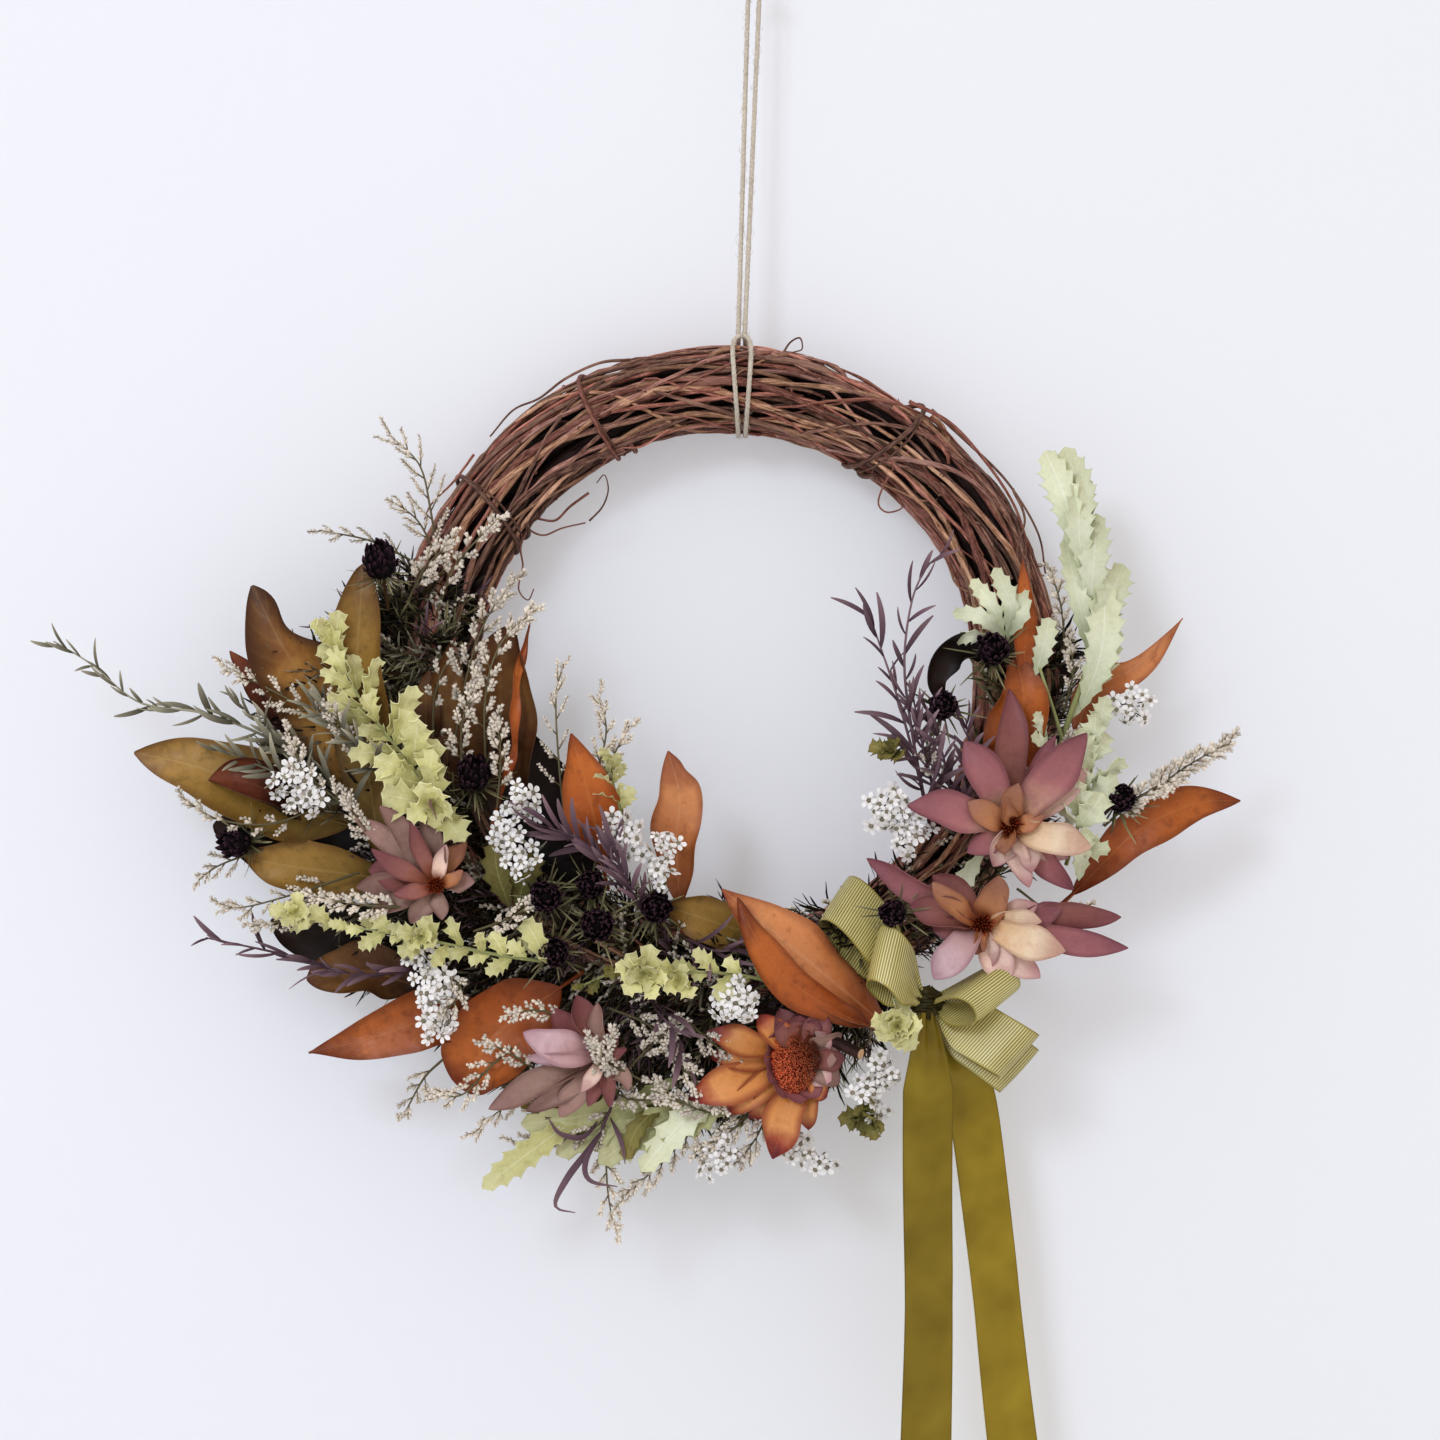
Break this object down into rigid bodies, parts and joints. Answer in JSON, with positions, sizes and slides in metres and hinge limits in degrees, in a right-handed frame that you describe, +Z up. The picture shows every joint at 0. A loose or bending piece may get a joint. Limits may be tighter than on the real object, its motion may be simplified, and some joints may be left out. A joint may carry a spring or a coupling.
{
  "type": "door wreath",
  "caption": "Grapevine door wreath on a jute hanger, dressed with dried magnolia leaves, leucadendron and protea heads, daisies, seed heads and a ribbon bow with two tails.",
  "frame": {"origin": "the inside top of the hanger eye, where the hook bears", "axes": "+Z up, +X to the right as seen from the front, -Y towards the viewer, +Y towards the door or wall"},
  "size_m": [0.6259, 0.1118, 0.8302],
  "materials": {
    "vine": "dry bark, matt",
    "vine_light": "dry bark, matt",
    "jute": "twisted jute, matt",
    "ribbon": "ribbed, satin sheen",
    "magnolia_ochre": "dried leaf, satin",
    "magnolia_brown": "dried leaf, satin",
    "magnolia_orange": "dried leaf, satin",
    "serrated_green": "dried leaf, matt",
    "narrow_grey": "dried leaf, matt",
    "narrow_mauve": "dried leaf, matt",
    "limonium": "dried floret, matt",
    "bract_mauve": "dried bract, satin",
    "bract_pink": "dried bract, satin",
    "protea_orange": "dried bract, satin",
    "daisy_white": "dried petal, matt",
    "seed_dark": "rough seed head, matt"
  },
  "bodies": {
    "hanger_eye": {"twine_eye": "jute"},
    "hanger_knot": {"twine_knot": "jute"},
    "hanger": {"twine_leg_left": "jute", "twine_leg_right": "jute", "twine_hitch": "jute"},
    "tail_left": {"ribbon_tail_left": "ribbon"},
    "tail_right": {"ribbon_tail_right": "ribbon"},
    "wreath": {"leucadendron_bottom": "bract_pink", "leucadendron_left": "bract_pink", "leucadendron_right_lower": "bract_pink", "leucadendron_right_upper": "bract_mauve", "limonium_spray_bottom": "limonium", "limonium_spray_upper_left": "limonium", "magnolia_leaf_brown_lower_left": "magnolia_brown", "magnolia_leaf_brown_upper_left": "magnolia_brown", "magnolia_leaf_brown_upright": "magnolia_brown", "magnolia_leaf_dark_inner": "magnolia_brown", "magnolia_leaf_golden_inner": "magnolia_ochre", "magnolia_leaf_ochre_left": "magnolia_ochre", "magnolia_leaf_ochre_upright": "magnolia_ochre", "magnolia_leaf_olive_lower_left": "magnolia_ochre", "magnolia_leaf_orange_curled": "magnolia_orange", "magnolia_leaf_orange_inner_left": "magnolia_orange", "magnolia_leaf_orange_inner_right": "magnolia_orange", "magnolia_leaf_orange_large": "magnolia_orange", "magnolia_leaf_orange_lower": "magnolia_orange", "magnolia_leaf_orange_lower_left": "magnolia_orange", "magnolia_leaf_orange_right": "magnolia_orange", "magnolia_leaf_orange_right_inner": "magnolia_orange", "magnolia_leaf_orange_upper_right": "magnolia_orange", "narrow_leaf_sprig_left": "narrow_grey", "narrow_leaf_sprig_right": "narrow_mauve", "protea": "protea_orange", "ribbon_loop_lower_left": "ribbon", "ribbon_loop_lower_right": "ribbon", "ribbon_loop_rear_right": "ribbon", "ribbon_loop_upper_left": "ribbon", "ribbon_loop_upper_right": "ribbon", "ribbon_root_left": "ribbon", "ribbon_root_right": "ribbon", "ribbon_tie": "ribbon", "seed_head_upper_left": "seed_dark", "seed_heads_centre": "seed_dark", "serrated_sprig_bottom": "serrated_green", "serrated_sprig_centre": "serrated_green", "serrated_sprig_left": "serrated_green", "serrated_sprig_right": "serrated_green", "serrated_sprig_upper_left": "serrated_green", "serrated_sprig_upper_right": "serrated_green", "vine_core": "vine", "vine_strand_1": "vine_light", "vine_strand_2": "vine_light", "vine_strand_3": "vine_light", "vine_strand_4": "vine_light", "vine_wrap_1": "vine", "vine_wrap_2": "vine", "vine_wrap_3": "vine", "white_daisies_centre": "daisy_white", "white_daisies_left": "daisy_white", "white_daisies_right": "daisy_white"}
  },
  "joints": [
    {"name": "side_swing", "type": "hinge", "parent": "hanger_eye", "child": "hanger_knot", "pos_m": [0, 0, -0.0177], "axis": [0, 1, 0], "range_deg": [-12, 12]},
    {"name": "out_swing", "type": "hinge", "parent": "hanger_knot", "child": "hanger", "pos_m": [0, 0, -0.0266], "axis": [-1, 0, 0], "range_deg": [0, 20]},
    {"name": "wreath_tilt", "type": "hinge", "parent": "hanger", "child": "wreath", "pos_m": [-0.0064, 0, -0.23673], "axis": [-1, 0, 0], "range_deg": [0, 25]},
    {"name": "tail_left_lift", "type": "hinge", "parent": "wreath", "child": "tail_left", "pos_m": [0.0892, -0.052, -0.594], "axis": [-0.8829, -0.4695, 0.004], "range_deg": [-12, 60]},
    {"name": "tail_right_lift", "type": "hinge", "parent": "wreath", "child": "tail_right", "pos_m": [0.1137, -0.024, -0.612], "axis": [-0.8747, -0.4723, -0.1083], "range_deg": [-12, 60]}
  ]
}
